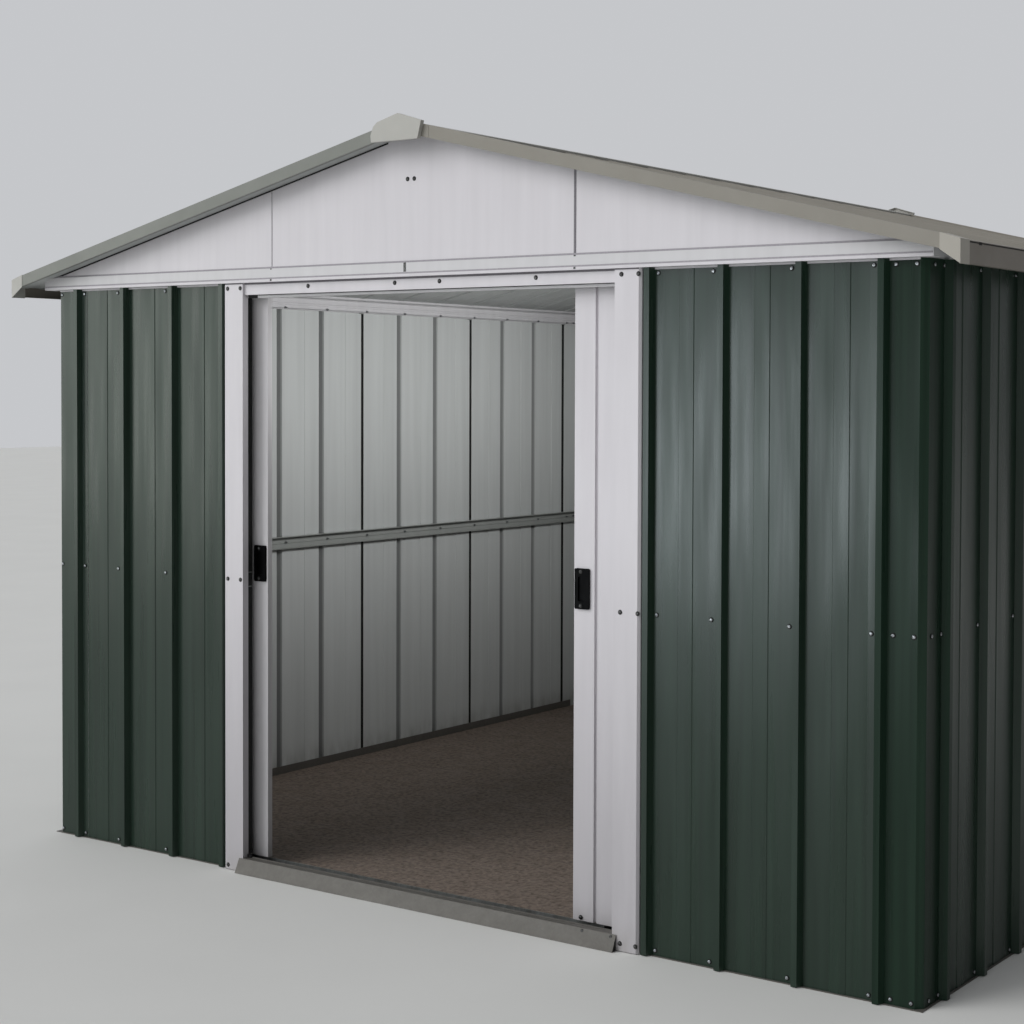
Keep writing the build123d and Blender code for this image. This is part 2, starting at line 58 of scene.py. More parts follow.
def high(name):
    """Highest corner of one of the shed's pieces."""
    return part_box(name)[1]


# Folded wall sheets: ribs standing out of flat pans
RIB_PITCH = 200 * MM
RIB_H = 18 * MM
RIB_FOOT = 27 * MM
RIB_CROWN = 15 * MM
SHEET = 1.0 * MM
HALF_W = high("right_wall").x - RIB_H
HALF_D = high("rear_wall").y - RIB_H
WALL_LOW = low("right_wall").z
WALL_TOP = high("right_wall").z
FRONT_RIBS = 14
SIDE_RIBS = 13
CORNER_CHAMFER = 15 * MM

# Lapped edges of the sheets: the lap outside, and the flap and a black strip in the rib's hollow
LAP_WIDTH = 19 * MM
LAP_RISE = 2.6 * MM
LAP_EDGE = 1.0 * MM
LAP_UNDER_SCREW = 2.0 * MM
LAP_SPAN = (WALL_LOW + 1 * MM, WALL_TOP - 0.5 * MM)
FLAP_FACE = -1.1 * MM
FLAP_BACK = -1.9 * MM
FLAP_GAP = 2 * MM
FLAP_SPAN = (WALL_LOW + 18 * MM, WALL_TOP - 21 * MM)
LAP_BLACK_STRIP = ((-0.9, -0.4 * MM), (0.9, -0.4 * MM), (0.7, 3 * MM), (-0.7, 3 * MM))
LIP_RISE = 2.8 * MM

# Levels and faces of the trims
DOORWAY_HALF = high("door_header").x
JAMB_FACE = low("door_jamb_right").y
JAMB_OUTER = high("door_jamb_right").x
JAMB_BEVEL = 6 * MM
HEADER_FACE = low("door_header").y
HEADER_LOW = low("door_header").z
SILL_END = high("door_sill").x
GABLE_FACE = low("gable_front").y
GABLE_RAIL_FACE = low("gable_rail_front").y
GABLE_RAIL_TOP = high("gable_rail_front").z
RAIL_END = high("gable_rail_front").x
GABLE_SEAM_X = 500 * MM
RAIL_JOINT_X = -30 * MM
EAVE_RISE = 33 * MM
SLOPE = 0.235
PITCH_ANGLE = math.atan(SLOPE)
RIDGE_UNDER = WALL_TOP + EAVE_RISE + SLOPE * HALF_W

# Rows and columns of the screws
SCREW_ROWS = (13 * MM, 796 * MM, 1587 * MM)
SCREW_ASIDE = 26 * MM
FIRST_SCREWS = (-64 * MM, -17.5 * MM)
LAST_SCREWS = (28 * MM, 64 * MM)
FRONT_SCREWS = tuple(x * MM for x in (-1379, -1278, -1136, -938, 722, 871, 1074, 1277, 1328, 1377))
HEADER_SCREWS = tuple((x * MM, 1586 * MM) for x in (-376, -74, 74, 376))
LEFT_JAMB_SCREWS = ((-669, 1586), (-621, 1586), (-669, 797), (-621, 797), (-669, 13))
RIGHT_JAMB_SCREWS = ((631, 1586), (679, 1586), (631.5, 798), (681, 798), (635, 19), (679, 19))
SILL_SCREWS = (528 * MM, 611 * MM)
GABLE_SCREWS = ((-25 * MM, 1845 * MM), (-3 * MM, 1845 * MM))
ROOF_SCREWS = (120 * MM, 700 * MM, 1390 * MM)
HANDLE_SCREWS = (-41 * MM, 41 * MM)
DOOR_FOOT_SCREW = (484 * MM, 44 * MM)

# View of the photograph, taken as 1024 pixels square
IMAGE = 1024
FOCAL_PX = 1842.35
AXIS_PX = (656.84, 436.49)
SENSOR = 36.0
CAMERA_AT = (3.0749, -4.8474, 1.3198)
CAMERA_TURN = math.radians(33.585)
CAMERA_DOWN = math.radians(1.479)
CAMERA_ROLL = math.radians(0.285)

# Sky that dims towards the right
SKY_STRENGTH = 0.62
SKY_DIM = 0.22
SKY_TURN = 0.40

# A wide soft sun from the front left and a weak one from the front: way to it, width and strength
SUNS = (
    ("key_sun", (-0.533, -0.682, 0.50), math.radians(38), 1.46),
    ("front_sun", (-0.08, -0.95, 0.30), math.radians(50), 0.40),
)

# Soft boxes that draw the sheen on the walls: place, aim, width, height, power and tint
BOXES = (
    ("right_box", (-2.24, -6.43, 0.92), (0.95, -1.32, 1.05), 1.6, 1.1, 52.0, (0.86, 0.95, 1.0)),
    ("left_box", (-5.53, -5.26, 1.70), (-1.00, -1.32, 1.40), 1.6, 2.6, 42.0, (0.94, 1.0, 0.93)),
)

# Soft lamp inside, for the wall seen through the doorway
FILL_AT = (-0.30, -0.05, 1.40)
FILL_BACK = (1.0, 0.0, 0.05)
FILL_SIZE = (0.30, 2.1)
FILL_POWER = 8.5
FILL_SPREAD = math.radians(150)


def linear(code):
    """Shader colour of an sRGB hex value."""
    parts = [int(code[i:i + 2], 16) / 255 for i in (0, 2, 4)]
    return tuple(c / 12.92 if c <= 0.04045 else ((c + 0.055) / 1.055) ** 2.4 for c in parts) + (1.0,)


def toned(colour, factor):
    """The same colour, darker or lighter by a factor."""
    return tuple(min(1.0, c * factor) for c in colour[:3]) + (1.0,)


def shade(name, description, code):
    """Colour setting with its default."""
    return FloatVectorProperty(
        name=name, description=description, size=4, subtype="COLOR", min=0.0, max=1.0, default=linear(code)
    )


def length(name, description, value):
    """Length setting with its default."""
    return FloatProperty(name=name, description=description, default=value, min=0.0, unit="LENGTH")


class ShedSizes(bpy.types.PropertyGroup):
    """Sizes of the small pieces."""

    screw_head: length("Screw head", "Width of a pan head", 8 * MM)
    washer: length("Washer", "Width of a sealing washer", 11.5 * MM)
    rail_lip: length("Rail lip", "Height of the top rail's lip above the pans", 4.5 * MM)
    hem: length("Hem", "Height of the folded hem along a trim", 7 * MM)
    floor_size: length("Floor", "Width of the studio floor", 60.0)


class ShedColours(bpy.types.PropertyGroup):
    """Colours of the coatings and of the studio."""

    green: shade("Wall green", "Outer coat of the walls", "18271E")
    wash: shade("Wash coat", "Inner coat of walls and roof", "C4C7C6")
    white: shade("White", "Coat of gables, jambs, header and right door", "D3D0D4")
    # Painted light: a lighter copy of the white coat, for the left door.
    bright: shade("Bright white", "Coat of the left door", "DDDBDD")
    rail: shade("Rail white", "Coat of the gable and top rails", "CDCCCE")
    # Painted shade: a darker copy of the rail white, for the middle rails inside.
    shaded_rail: shade("Dull rail", "Coat of the middle rails inside", "A0A3A0")
    olive: shade("Trim grey", "Coat of the roof and its rake trims", "8A867D")
    # Painted light: a lighter copy of the trim grey, for the end caps, the ridge cap, its closures and the
    # roof corner caps on the left.
    lit_pale_olive: shade("Pale trim grey", "Painted-light coat of the caps", "B2B1AB")
    # Painted shade: a darker copy of the trim grey, for the rake trims on the left slope.
    shaded_grey_olive: shade("Greyed trim grey", "Coat of the rake trims on the left slope", "7D7F79")
    # Painted shade: a darker, warmer copy of the pale trim grey, for the roof corner caps on the right.
    shaded_warm_olive: shade("Warm trim grey", "Coat of the roof corner caps on the right", "A6A299")
    # Painted shade: a darker copy of the trim grey, for the eave fascias.
    shaded_dark_olive: shade("Dark trim grey", "Coat of the eave fascias", "7E7870")
    zinc: shade("Zinc", "Track, guide, beams and door frames", "A9ABAA")
    dull_zinc: shade("Weathered zinc", "Sill and base frame", "6A6762")
    board: shade("Board", "Floor boards", "807369")
    black: shade("Black", "Moulded handles and slides", "050506")
    floor: shade("Studio floor", "Matt floor under the shed", "E2E2DF")
    sky: shade("Studio light", "Light from all round", "F4F6FA")


def sizes():
    """The small sizes as set in the sidebar."""
    return bpy.context.scene.shed_sizes


def colours():
    """The colours as set in the sidebar."""
    return bpy.context.scene.shed_colours


# Materials

# Height that nothing on the shed comes to, in metres
NEVER_REACHED = 1000.0


def node(tree, kind, settings=None, links=None):
    """Add one node, with settings and links by attribute, socket name or socket number."""
    made = tree.nodes.new("ShaderNode" + kind)
    for key, value in (settings or {}).items():
        if isinstance(key, int) or key in made.inputs:
            made.inputs[key].default_value = value
        else:
            setattr(made, key, value)
    for key, source in (links or {}).items():
        tree.links.new(source, made.inputs[key])
    return made


def start(name):
    """New material: its tree, with the surface's own place on the shed."""
    made = bpy.data.materials.new(name)
    made.use_nodes = True
    tree = made.node_tree
    tree.nodes.clear()
    place = node(tree, "TexCoord").outputs["Object"]
    return made, tree, place


def close(tree, settings, links):
    """Shader and output of a material."""
    shader = node(tree, "BsdfPrincipled", settings, links)
    node(tree, "OutputMaterial", links={"Surface": shader.outputs[0]})


def patches(tree, place, size, least, most, stretch=(1, 1, 1), detail=3.0):
    """Value that wanders from least to most in patches of about that size."""
    scale = tuple(1 / (size * s) for s in stretch)
    spread = node(tree, "VectorMath", {"operation": "MULTIPLY", 1: scale}, {0: place})
    cloud = node(tree, "TexNoise", {"Scale": 1.0, "Detail": detail}, {"Vector": spread.outputs[0]})
    level = node(
        tree,
        "MapRange",
        {"From Min": 0.3, "From Max": 0.7, "To Min": least, "To Max": most},
        {"Value": cloud.outputs[0]},
    )
    return level.outputs[0]


def near_ground(tree, place, reach):
    """One at the ground, fading to nothing at that height."""
    height = node(tree, "SeparateXYZ", links={0: place}).outputs["Z"]
    fade = node(
        tree,
        "MapRange",
        {"interpolation_type": "SMOOTHSTEP", "From Max": reach, "To Min": 1.0, "To Max": 0.0},
        {"Value": height},
    )
    return fade.outputs[0]


def soiled(tree, place, colour, dirt, reach, most):
    """Colour with splashed dirt that fades out above the ground."""
    rise = near_ground(tree, place, reach)
    spots = patches(tree, place, 35 * MM, 0.0, most, (1, 1, 2.5), 6.0)
    share = node(tree, "Math", {"operation": "MULTIPLY"}, {0: rise, 1: spots})
    mixed = node(tree, "Mix", {"data_type": "RGBA", 7: dirt}, {0: share.outputs[0], 6: colour})
    return mixed.outputs[2]


def sheet_bump(tree, place, buckle, grain):
    """Bump of rolled sheet: slow buckles between the folds and the skin of the coat."""
    wide = patches(tree, place, 160 * MM, 0.0, 1.0, (1, 1, 4), 1.0)
    slow = node(tree, "Bump", {"Strength": 1.0, "Distance": buckle}, {"Height": wide})
    fine = patches(tree, place, 2.5 * MM, 0.0, 1.0, detail=2.0)
    skin = node(
        tree, "Bump", {"Strength": 1.0, "Distance": grain}, {"Height": fine, "Normal": slow.outputs[0]}
    )
    return skin.outputs[0]


def fold_flanks(tree):
    """One on the steep flanks of upright folds, zero on flat pans."""
    facing = node(tree, "NewGeometry").outputs["True Normal"]
    parts = node(tree, "SeparateXYZ", links={0: facing}).outputs
    both = node(tree, "Math", {"operation": "MULTIPLY"}, {0: parts["X"], 1: parts["Y"]})
    size = node(tree, "Math", {"operation": "ABSOLUTE"}, {0: both.outputs[0]})
    return node(tree, "Math", {"operation": "GREATER_THAN", 1: 0.1}, {0: size.outputs[0]}).outputs[0]


def beyond(tree, place, margin):
    """For X and Y, one where the place lies further out than the wall pans by that margin."""
    far = node(tree, "VectorMath", {"operation": "ABSOLUTE"}, {0: place})
    reach = (HALF_W + margin, HALF_D + margin, NEVER_REACHED)
    share = node(tree, "VectorMath", {"operation": "DIVIDE", 1: reach}, {0: far.outputs[0]})
    return node(tree, "VectorMath", {"operation": "FLOOR"}, {0: share.outputs[0]}).outputs[0]


def rib_hollow(tree, place):
    """One in the hollows of the wall ribs, beyond the pans, where the back gets painted shade."""
    which = beyond(tree, place, RIB_H / 4)
    count = node(tree, "VectorMath", {"operation": "DOT_PRODUCT", 1: (1, 1, 0)}, {0: which})
    return node(tree, "Math", {"operation": "MINIMUM", 1: 1.0}, {0: count.outputs["Value"]}).outputs[0]


def shifted(tree, share, colour, factor):
    """Colour made darker or lighter by a factor where the share is one."""
    grey = (factor, factor, factor, 1.0)
    mixed = node(tree, "Mix", {"data_type": "RGBA", "blend_type": "MULTIPLY", 7: grey}, {0: share, 6: colour})
    return mixed.outputs[2]


def wall_outside(tree, place):
    """One where a wall sheet faces out of the shed, zero where it faces in."""
    out = node(tree, "NewGeometry").outputs["True Normal"]
    which = beyond(tree, place, -30 * MM)
    side = node(tree, "VectorMath", {"operation": "MULTIPLY"}, {0: which, 1: place})
    along = node(tree, "VectorMath", {"operation": "DOT_PRODUCT"}, {0: side.outputs[0], 1: out})
    return node(tree, "Math", {"operation": "GREATER_THAN", 1: 0.05}, {0: along.outputs["Value"]}).outputs[0]


def roof_outside(tree, place):
    """One on the upper side of the roof sheets."""
    facing = node(tree, "NewGeometry").outputs["True Normal"]
    up = node(tree, "SeparateXYZ", links={0: facing}).outputs["Z"]
    return node(tree, "Math", {"operation": "GREATER_THAN", 1: 0.05}, {0: up}).outputs[0]


def washed_back(tree, place):
    """Thin grey wash coat on the back of a sheet: cloudy, with upright roller streaks."""
    wash = tuple(colours().wash)
    dull = toned(wash, 0.91)
    cloud = patches(tree, place, 30 * MM, 0.0, 1.0, (1, 1, 25), 4.0)
    back = node(tree, "Mix", {"data_type": "RGBA", 6: wash, 7: dull}, {0: cloud}).outputs[2]
    return soiled(tree, place, back, linear("5A5348"), 120 * MM, 0.6)


def coil_coated_green_steel(name, shine):
    """Polyester coat baked on rolled steel: dark, glossy in soft upright bands, with painted sheen on the rib
    flanks; the back has a wash coat, with painted shade in the rib hollows.
    """
    made, tree, place = start(name)
    green = colours().green
    pale = toned(green, 1.5)
    streak = patches(tree, place, 16 * MM, 0.0, 1.0, (1, 1, 45), 4.0)
    coat = node(tree, "Mix", {"data_type": "RGBA", 6: green, 7: pale}, {0: streak}).outputs[2]
    # Painted sheen: the steep flanks of the ribs are painted 1.3 times lighter.
    coat = shifted(tree, fold_flanks(tree), coat, 1.3)
    # Painted shade: the back is painted 0.6 times darker in the rib hollows.
    back = shifted(tree, rib_hollow(tree, place), washed_back(tree, place), 0.6)
    mask = wall_outside(tree, place)
    colour = node(tree, "Mix", {"data_type": "RGBA"}, {0: mask, 6: back, 7: coat})
    gloss = patches(tree, place, 30 * MM, 0.24, 0.36, (1, 1, 20), 4.0)
    rough = node(tree, "Mix", {2: 0.50}, {0: mask, 3: gloss})
    close(
        tree,
        {"IOR": 1.5, "Specular IOR Level": shine},
        {
            "Base Color": colour.outputs[2],
            "Roughness": rough.outputs[0],
            "Normal": sheet_bump(tree, place, 3.5 * MM, 0.02 * MM),
        },
    )
    return made


def coil_coated_olive_roof(name):
    """Grey-olive polyester coat above, wash coat below painted 0.8 times darker as shade, all dulled by
    weather.
    """
    made, tree, place = start(name)
    olive = tuple(colours().olive)
    marked = toned(olive, 0.85)
    streak = patches(tree, place, 40 * MM, 0.0, 1.0, (12, 1, 1), 4.0)
    coat = node(tree, "Mix", {"data_type": "RGBA", 6: olive, 7: marked}, {0: streak}).outputs[2]
    # Painted shade: the wash coat under the roof is painted 0.8 times darker.
    back = node(
        tree,
        "Mix",
        {"data_type": "RGBA", "blend_type": "MULTIPLY", 0: 1.0, 7: (0.8, 0.8, 0.8, 1.0)},
        {6: washed_back(tree, place)},
    ).outputs[2]
    colour = node(tree, "Mix", {"data_type": "RGBA"}, {0: roof_outside(tree, place), 6: back, 7: coat})
    close(
        tree,
        {"IOR": 1.5},
        {
            "Base Color": colour.outputs[2],
            "Roughness": patches(tree, place, 45 * MM, 0.42, 0.55, (6, 1, 1), 4.0),
            "Normal": sheet_bump(tree, place, 1.0 * MM, 0.03 * MM),
        },
    )
    return made


def coil_coated_white_steel(name, colour):
    """Pale polyester coat on rolled steel: even and softly glossy, painted darker towards the ground as
    shade, with splashed dirt at the foot.
    """
    made, tree, place = start(name)
    pale = tuple(colour)
    marked = toned(pale, 0.94)
    marks = patches(tree, place, 30 * MM, 0.0, 1.0, (1, 1, 14), 5.0)
    coat = node(tree, "Mix", {"data_type": "RGBA", 6: pale, 7: marked}, {0: marks}).outputs[2]
    # Painted shade: darkened to 0.66 at the ground, fading out at 1.1 m.
    painted_low_shade = near_ground(tree, place, 1100 * MM)
    coat = shifted(tree, painted_low_shade, coat, 0.66)
    coat = soiled(tree, place, coat, linear("7A7463"), 90 * MM, 0.35)
    gloss = patches(tree, place, 50 * MM, 0.36, 0.48, (1, 1, 6), 4.0)
    close(
        tree,
        {"IOR": 1.5},
        {"Base Color": coat, "Roughness": gloss, "Normal": sheet_bump(tree, place, 0.5 * MM, 0.03 * MM)},
    )
    return made


def coil_coated_trim_steel(name, colour, left_slope_tone):
    """Grey-olive coat of the roof trims, in a second tone on the left slope: painted light and shade that
    differ between the slopes.
    """
    made, tree, place = start(name)
    # Painted light and shade: the left slope takes the second tone, blending over 0.2 m at the ridge.
    side = node(tree, "SeparateXYZ", links={0: place}).outputs["X"]
    left_slope = node(
        tree,
        "MapRange",
        {"From Min": -0.10, "From Max": 0.10, "To Min": 1.0, "To Max": 0.0},
        {"Value": side},
    )
    coat = node(
        tree, "Mix", {"data_type": "RGBA", 6: tuple(colour), 7: tuple(left_slope_tone)}, {0: left_slope.outputs[0]}
    ).outputs[2]
    streak = patches(tree, place, 60 * MM, 0.0, 1.0, detail=5.0)
    coat = shifted(tree, streak, coat, 0.94)
    close(
        tree,
        {"IOR": 1.5},
        {
            "Base Color": coat,
            "Roughness": patches(tree, place, 50 * MM, 0.42, 0.55),
            "Normal": sheet_bump(tree, place, 0.4 * MM, 0.03 * MM),
        },
    )
    return made


def spangled_galvanised_steel(name, colour):
    """Hot-dip zinc: crystals of many greys, about 9 mm wide, dull where it has weathered."""
    made, tree, place = start(name)
    zinc = tuple(colour)
    dark = toned(zinc, 0.72)
    cells = node(tree, "TexVoronoi", {"Scale": 1 / (9 * MM)}, {"Vector": place})
    tone = node(tree, "SeparateXYZ", links={0: cells.outputs["Color"]}).outputs["X"]
    coat = node(tree, "Mix", {"data_type": "RGBA", 6: zinc, 7: dark}, {0: tone})
    coat = soiled(tree, place, coat.outputs[2], linear("5E5A50"), 60 * MM, 0.6)
    dull = patches(tree, place, 25 * MM, 0.38, 0.60)
    close(
        tree,
        {"Metallic": 0.85},
        {"Base Color": coat, "Roughness": dull, "Normal": sheet_bump(tree, place, 0.4 * MM, 0.05 * MM)},
    )
    return made


def speckled_floor_board(name, colour):
    """Pressed board with a scuffed brown-grey face and fine speckles."""
    made, tree, place = start(name)
    base = tuple(colour)
    dark = toned(base, 0.45)
    light = toned(base, 1.45)
    chips = patches(tree, place, 15 * MM, -0.5, 1.0, detail=4.0)
    coat = node(tree, "Mix", {"data_type": "RGBA", 6: base, 7: dark}, {0: chips})
    dust = patches(tree, place, 9 * MM, -0.9, 0.7, detail=4.0)
    coat = node(tree, "Mix", {"data_type": "RGBA", 7: light}, {0: dust, 6: coat.outputs[2]})
    fibre = patches(tree, place, 3 * MM, 0.0, 1.0, detail=4.0)
    bump = node(tree, "Bump", {"Strength": 1.0, "Distance": 0.25 * MM}, {"Height": fibre})
    close(
        tree,
        {"IOR": 1.45},
        {
            "Base Color": coat.outputs[2],
            "Roughness": patches(tree, place, 60 * MM, 0.6, 0.85),
            "Normal": bump.outputs[0],
        },
    )
    return made


def moulded_black_plastic(name, colour):
    """Moulded polypropylene: nearly black, satin, with a fine spark-eroded grain."""
    made, tree, place = start(name)
    base = tuple(colour)
    worn = toned(base, 2.0)
    rubbed = patches(tree, place, 12 * MM, -0.3, 0.5, detail=5.0)
    coat = node(tree, "Mix", {"data_type": "RGBA", 6: base, 7: worn}, {0: rubbed})
    grain = patches(tree, place, 0.8 * MM, 0.0, 1.0, detail=1.0)
    bump = node(tree, "Bump", {"Strength": 1.0, "Distance": 0.06 * MM}, {"Height": grain})
    close(
        tree,
        {"IOR": 1.49, "Specular IOR Level": 0.06},
        {
            "Base Color": coat.outputs[2],
            "Roughness": patches(tree, place, 15 * MM, 0.38, 0.55),
            "Normal": bump.outputs[0],
        },
    )
    return made


def weathered_galvanised_steel(name, colour):
    """Old zinc gone matt and grey: even, with only a ghost of its crystals."""
    made, tree, place = start(name)
    zinc = tuple(colour)
    dark = toned(zinc, 0.88)
    cells = node(tree, "TexVoronoi", {"Scale": 1 / (6 * MM)}, {"Vector": place})
    tone = node(tree, "SeparateXYZ", links={0: cells.outputs["Color"]}).outputs["X"]
    coat = node(tree, "Mix", {"data_type": "RGBA", 6: zinc, 7: dark}, {0: tone}).outputs[2]
    coat = shifted(tree, patches(tree, place, 60 * MM, 0.0, 1.0, (3, 1, 1), 5.0), coat, 0.94)
    close(
        tree,
        {"Metallic": 0.25},
        {
            "Base Color": coat,
            "Roughness": patches(tree, place, 25 * MM, 0.48, 0.62),
            "Normal": sheet_bump(tree, place, 0.3 * MM, 0.04 * MM),
        },
    )
    return made


def zinc_plated_steel(name, bright, dim):
    """Pressed steel with zinc plating: shiny metal, slightly blue-grey, and dark grey on the screws in white
    coats and on the rail's joints.
    """
    made, tree, place = start(name)
    tone = patches(tree, place, 3 * MM, 0.0, 1.0)
    coat = node(tree, "Mix", {"data_type": "RGBA", 6: linear(bright), 7: linear(dim)}, {0: tone})
    close(
        tree,
        {"Metallic": 1.0},
        {"Base Color": coat.outputs[2], "Roughness": patches(tree, place, 4 * MM, 0.22, 0.40)},
    )
    return made


def rubber_and_painted_shadow(name, colour, dusty):
    """Soft washer or strip, and the painted shadow strips and lines at joints: dull, with dust in its pores.
    """
    made, tree, place = start(name)
    tone = patches(tree, place, 4 * MM, 0.0, 1.0)
    coat = node(tree, "Mix", {"data_type": "RGBA", 6: linear(colour), 7: linear(dusty)}, {0: tone})
    close(tree, {"Roughness": 0.7, "Specular IOR Level": 0.3}, {"Base Color": coat.outputs[2]})
    return made


def finish(name):
    """Material by its name, made when it is first asked for."""
    if name in bpy.data.materials:
        return bpy.data.materials[name]
    pick = colours()
    makers = {
        "coil_coated_green_walls": lambda: coil_coated_green_steel(name, 0.42),
        "coil_coated_green_corners": lambda: coil_coated_green_steel(name, 0.15),
        "coil_coated_olive_roof": lambda: coil_coated_olive_roof(name),
        "coil_coated_white_steel": lambda: coil_coated_white_steel(name, pick.white),
        "coil_coated_lit_white_steel": lambda: coil_coated_white_steel(name, pick.bright),
        "coil_coated_rail_steel": lambda: coil_coated_white_steel(name, pick.rail),
        "coil_coated_shaded_rail_steel": lambda: coil_coated_white_steel(name, pick.shaded_rail),
        "coil_coated_trim_steel": lambda: coil_coated_trim_steel(name, pick.olive, pick.shaded_grey_olive),
        "coil_coated_cap_steel": lambda: coil_coated_trim_steel(name, pick.lit_pale_olive, pick.lit_pale_olive),
        "coil_coated_corner_steel": lambda: coil_coated_trim_steel(name, pick.shaded_warm_olive, pick.lit_pale_olive),
        "coil_coated_fascia_steel": lambda: coil_coated_trim_steel(name, pick.shaded_dark_olive, pick.shaded_dark_olive),
        "spangled_galvanised_steel": lambda: spangled_galvanised_steel(name, pick.zinc),
        "weathered_galvanised_steel": lambda: weathered_galvanised_steel(name, pick.dull_zinc),
        "speckled_floor_board": lambda: speckled_floor_board(name, pick.board),
        "moulded_black_plastic": lambda: moulded_black_plastic(name, pick.black),
        "zinc_plated_steel": lambda: zinc_plated_steel(name, "C9CBCE", "8E9194"),
        "dark_zinc_plating": lambda: zinc_plated_steel(name, "6E6D6C", "403F3E"),
        "rubber_and_painted_shadow": lambda: rubber_and_painted_shadow(name, "141414", "262624"),
        "grey_shadow_line_paint": lambda: rubber_and_painted_shadow(name, "6E6B70", "838086"),
        "pale_shadow_line_paint": lambda: rubber_and_painted_shadow(name, "98959A", "A9A6AB"),
    }
    return makers[name]()


def dress(material, *names):
    """Give pieces of the frame their finish."""
    for name in names:
        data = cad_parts[name].data
        data.materials.clear()
        data.materials.append(finish(material))


# Shapes


class Shape:
    """Points and faces of one joined piece, each face with the number of its material."""

    def __init__(self):
        self.points = []
        self.faces = []
        self.kinds = []

    def add(self, points, faces, kind=0, place=None):
        """Take in points and faces, set in place by a matrix."""
        first = len(self.points)
        for point in points:
            at = Vector(point)
            self.points.append(place @ at if place else at)
        for face in faces:
            self.faces.append([first + i for i in face])
            self.kinds.append(kind)

    def run(self, axis, outline, start, end, kind=0, place=None):
        """Closed outline run along X, Y or Z; its points hold the other two axes in order."""
        count = len(outline)
        points = []
        for at in (start, end):
            for a, b in outline:
                points.append({"X": (at, a, b), "Y": (a, at, b), "Z": (a, b, at)}[axis])
        faces = [[i, (i + 1) % count, count + (i + 1) % count, count + i] for i in range(count)]
        faces.append(list(range(count))[::-1])
        faces.append(list(range(count, 2 * count)))
        self.add(points, faces, kind, place)

    def block(self, corner, other, kind=0):
        """Box between two corners."""
        (x0, y0, z0), (x1, y1, z1) = corner, other
        self.run("Z", [(x0, y0), (x1, y0), (x1, y1), (x0, y1)], z0, z1, kind)

    def piece(self, name, body, slot, *materials):
        """Make the object, with its finish, on the body that carries it."""
        mesh = bpy.data.meshes.new(name)
        mesh.from_pydata([tuple(p) for p in self.points], [], self.faces)
        for material in materials:
            mesh.materials.append(finish(material))
        mesh.polygons.foreach_set("material_index", self.kinds)
        made = bpy.data.objects.new(name, mesh)
        bpy.context.scene.collection.objects.link(made)
        bpy.context.view_layer.objects.active = made
        made.select_set(True)
        bpy.ops.object.mode_set(mode="EDIT")
        bpy.ops.mesh.select_all(action="SELECT")
        bpy.ops.mesh.normals_make_consistent(inside=False)
        bpy.ops.object.mode_set(mode="OBJECT")
        made.select_set(False)
        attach(made, body)
        return made


def facing(at, out, spin=0.0):
    """Matrix that stands a small thing on a surface, turned about its own axis."""
    turn = Vector(out).to_track_quat("Z", "Y").to_matrix().to_4x4()
    return Matrix.Translation(Vector(at)) @ turn @ Matrix.Rotation(spin, 4, "Z")


SCREW_SIDES = 12


def ring(radius, height):
    """Twelve points round a screw."""
    turn = 2 * math.pi / SCREW_SIDES
    return [
        (radius * math.cos(turn * (i + 0.5)), radius * math.sin(turn * (i + 0.5)), height)
        for i in range(SCREW_SIDES)
    ]


def cross(reach, half, height):
    """Twelve points of a cross recess, in step with the ring round it."""
    points = []
    for quarter in range(4):
        turn = Matrix.Rotation(quarter * math.pi / 2, 3, "Z")
        for corner in ((reach, half, height), (half, half, height), (half, reach, height)):
            points.append(tuple(turn @ Vector(corner)))
    return points


def rings(levels):
    """Points and faces of a stack of rings, closed at the last."""
    points = [p for level in levels for p in level]
    count = SCREW_SIDES
    faces = []
    for k in range(len(levels) - 1):
        for i in range(count):
            j = (i + 1) % count
            faces.append([k * count + i, k * count + j, (k + 1) * count + j, (k + 1) * count + i])
    faces.append([(len(levels) - 1) * count + i for i in range(count)])
    return points, faces


def add_screw(shape, at, out, rng):
    """Pan head screw with a cross recess on a sealing washer."""
    head = sizes().screw_head / 2
    pad = sizes().washer / 2
    place = facing(at, out, rng.uniform(0, math.pi))
    washer = [ring(pad, 0), ring(pad, 0.9 * MM), ring(pad * 0.82, 1.3 * MM)]
    shape.add(*rings(washer), 0, place)
    reach = head * 0.55
    slot = head * 0.11
    levels = [
        ring(head, 1.2 * MM),
        ring(head, 2.0 * MM),
        ring(head * 0.86, 2.9 * MM),
        cross(reach, slot, 3.3 * MM),
        cross(reach, slot, 2.1 * MM),
    ]
    shape.add(*rings(levels), 1, place)


def add_nut(shape, at, out, rng):
    """Square-cut hex nut with the end of its screw."""
    place = facing(at, out, rng.uniform(0, math.pi))
    for radius, base, top, sides in ((4.4 * MM, 0, 3.2 * MM, 6), (2.4 * MM, 3.2 * MM, 7.5 * MM, 8)):
        turn = 2 * math.pi / sides
        outline = [(radius * math.cos(turn * i), radius * math.sin(turn * i)) for i in range(sides)]
        shape.run("Z", outline, base, top, 0, place)


def wall_at(side, u, v, z):
    """Point on a wall: u along it, v out of its pans."""
    if side == "front":
        return Vector((u, -HALF_D - v, z))
    if side == "rear":
        return Vector((-u, HALF_D + v, z))
    if side == "right":
        return Vector((HALF_W + v, u, z))
    return Vector((-HALF_W - v, -u, z))


SIDES = ("front", "rear", "left", "right")
OUTWARD = {"front": (0, -1, 0), "rear": (0, 1, 0), "right": (1, 0, 0), "left": (-1, 0, 0)}


def ribs(side):
    """Rib centres along a wall."""
    count = FRONT_RIBS if side in ("front", "rear") else SIDE_RIBS
    half = (count - 1) * RIB_PITCH / 2
    return [k * RIB_PITCH - half for k in range(count)]


